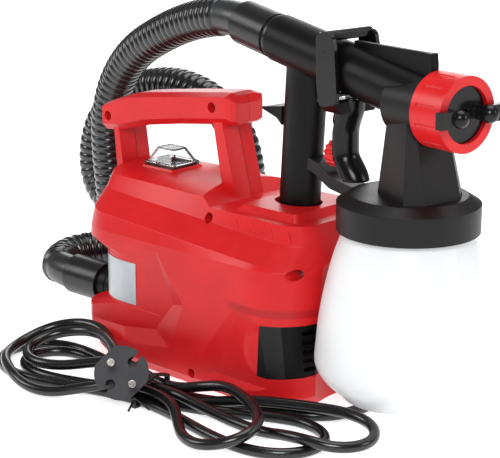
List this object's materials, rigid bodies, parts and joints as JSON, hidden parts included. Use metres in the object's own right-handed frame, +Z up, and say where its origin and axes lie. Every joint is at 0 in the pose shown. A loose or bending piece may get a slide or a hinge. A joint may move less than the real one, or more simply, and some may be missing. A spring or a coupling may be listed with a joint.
{
  "type": "paint sprayer",
  "caption": "Floor-standing turbine paint sprayer: red base with a carry handle, ribbed air hose, and a cup gun with trigger, flow knob, ring nut and air cap.",
  "frame": {"origin": "centre of the underside of the base, on the ground", "axes": "+Z up, +X to the front of the base, where the cup hangs; the outlet is at -X"},
  "size_m": [0.4691, 0.3298, 0.2483],
  "materials": {
    "red_plastic": "satin moulded plastic, lightly textured",
    "black_plastic": "black satin plastic",
    "head_plastic": "charcoal satin plastic",
    "ring_plastic": "red plastic with a soft gloss",
    "cap_plastic": "black plastic with a soft gloss",
    "cuff_rubber": "glossy black soft plastic",
    "hose_plastic": "glossy black ribbed plastic",
    "cup_plastic": "milky white translucent plastic",
    "rocker_plastic": "dark gloss",
    "clear_cover": "clear flexible cover",
    "label_silver": "silver film, bare",
    "steel": "zinc plated steel",
    "needle_steel": "stainless steel",
    "packing_brass": "turned brass",
    "motor_steel": "pressed and laminated steel",
    "carbon": "carbon in moulded holders",
    "impeller_alloy": "pressed alloy",
    "black_rubber": "soft black rubber",
    "filter_foam": "open cell foam",
    "capacitor": "dipped film capacitor",
    "lead_wire": "insulated wire",
    "tube_plastic": "natural plastic",
    "cord_jacket": "smooth black jacket",
    "tie_wrap": "black wire tie",
    "plug_body": "moulded dark grey",
    "plug_pins": "nickel plated"
  },
  "bodies": {
    "base": {"base_plate": "black_plastic", "housing_left": "red_plastic", "housing_right": "red_plastic", "vent_grille": "black_plastic", "air_filter": "filter_foam", "switch_frame": "black_plastic", "switch_cover": "clear_cover", "rating_label": "label_silver", "housing_screws": "steel", "hose_outlet": "black_plastic", "hose_cuff_base": "cuff_rubber", "air_hose": "hose_plastic", "fan_housing": "black_plastic", "motor_can": "motor_steel", "stator_core": "motor_steel", "motor_bearings": "motor_steel", "brush_holders": "carbon", "motor_rubber_mounts": "black_rubber", "terminal_block": "black_plastic", "noise_capacitor": "capacitor", "cord_clamp": "black_plastic", "cord_strain_relief": "black_plastic", "inner_leads": "lead_wire", "mains_cord": "cord_jacket", "mains_cord_hank": "cord_jacket", "cord_tie": "tie_wrap", "plug_body": "plug_body", "plug_pins": "plug_pins"},
    "rotor": {"armature": "motor_steel", "turbine_impeller": "impeller_alloy"},
    "rocker": {"switch_rocker": "rocker_plastic"},
    "gun": {"gun_body": "black_plastic", "grip_panel": "black_plastic", "spray_head": "head_plastic", "cup_seal": "black_rubber", "suction_tube": "tube_plastic", "cup_pressure_valve": "black_rubber", "trigger_pivot_pins": "steel", "needle_packing_nut": "packing_brass", "fluid_nozzle": "needle_steel", "hose_cuff_gun": "cuff_rubber"},
    "trigger": {"trigger": "black_plastic", "trigger_cross_pin": "steel", "flow_knob_screw": "steel"},
    "knob": {"flow_knob": "ring_plastic"},
    "needle": {"fluid_needle": "needle_steel", "needle_spring": "steel"},
    "cap": {"air_cap": "cap_plastic"},
    "nut": {"ring_nut": "ring_plastic"},
    "cup": {"paint_cup": "cup_plastic"}
  },
  "joints": [
    {"name": "gun_lift", "type": "slide", "parent": "base", "child": "gun", "axis": [0, 0, 1], "range_m": [0, 0.06], "deforming": ["air_hose"]},
    {"name": "trigger_pull", "type": "hinge", "parent": "gun", "child": "trigger", "pos_m": [0.09306, -0.00593, 0.226], "axis": [0.1392, 0.9903, 0], "range_deg": [0, 10], "stiffness_Nm_per_rad": 1.2, "springref_deg": -11.46},
    {"name": "needle_slide", "type": "slide", "parent": "gun", "child": "needle", "axis": [-0.9903, 0.1392, 0], "range_m": [0, 0.0046], "deforming": ["needle_spring"]},
    {"name": "flow_knob_turn", "type": "hinge", "parent": "trigger", "child": "knob", "pos_m": [0.08613, -0.00495, 0.1598], "axis": [0.9903, -0.1392, 0], "range_deg": [-360, 360]},
    {"name": "ring_nut_turn", "type": "hinge", "parent": "gun", "child": "nut", "pos_m": [0.1505, -0.014, 0.2015], "axis": [0.9903, -0.1392, 0], "range_deg": [0, 360]},
    {"name": "air_cap_turn", "type": "hinge", "parent": "gun", "child": "cap", "pos_m": [0.1505, -0.014, 0.2015], "axis": [0.9903, -0.1392, 0], "range_deg": [-90, 90]},
    {"name": "cup_unscrew", "type": "hinge", "parent": "gun", "child": "cup", "pos_m": [0.1505, -0.014, 0.12], "axis": [0, 0, 1], "range_deg": [0, 270]},
    {"name": "rocker_tip", "type": "hinge", "parent": "base", "child": "rocker", "pos_m": [-0.072, 0, 0.1262], "axis": [0, -1, 0], "range_deg": [0, 18]},
    {"name": "rotor_spin", "type": "hinge", "parent": "base", "child": "rotor", "pos_m": [0, 0, 0.052], "axis": [1, 0, 0], "continuous": true}
  ],
  "couplings": [
    {"joint": "needle_slide", "follows": "trigger_pull", "m_per_rad": 0.02507}
  ]
}
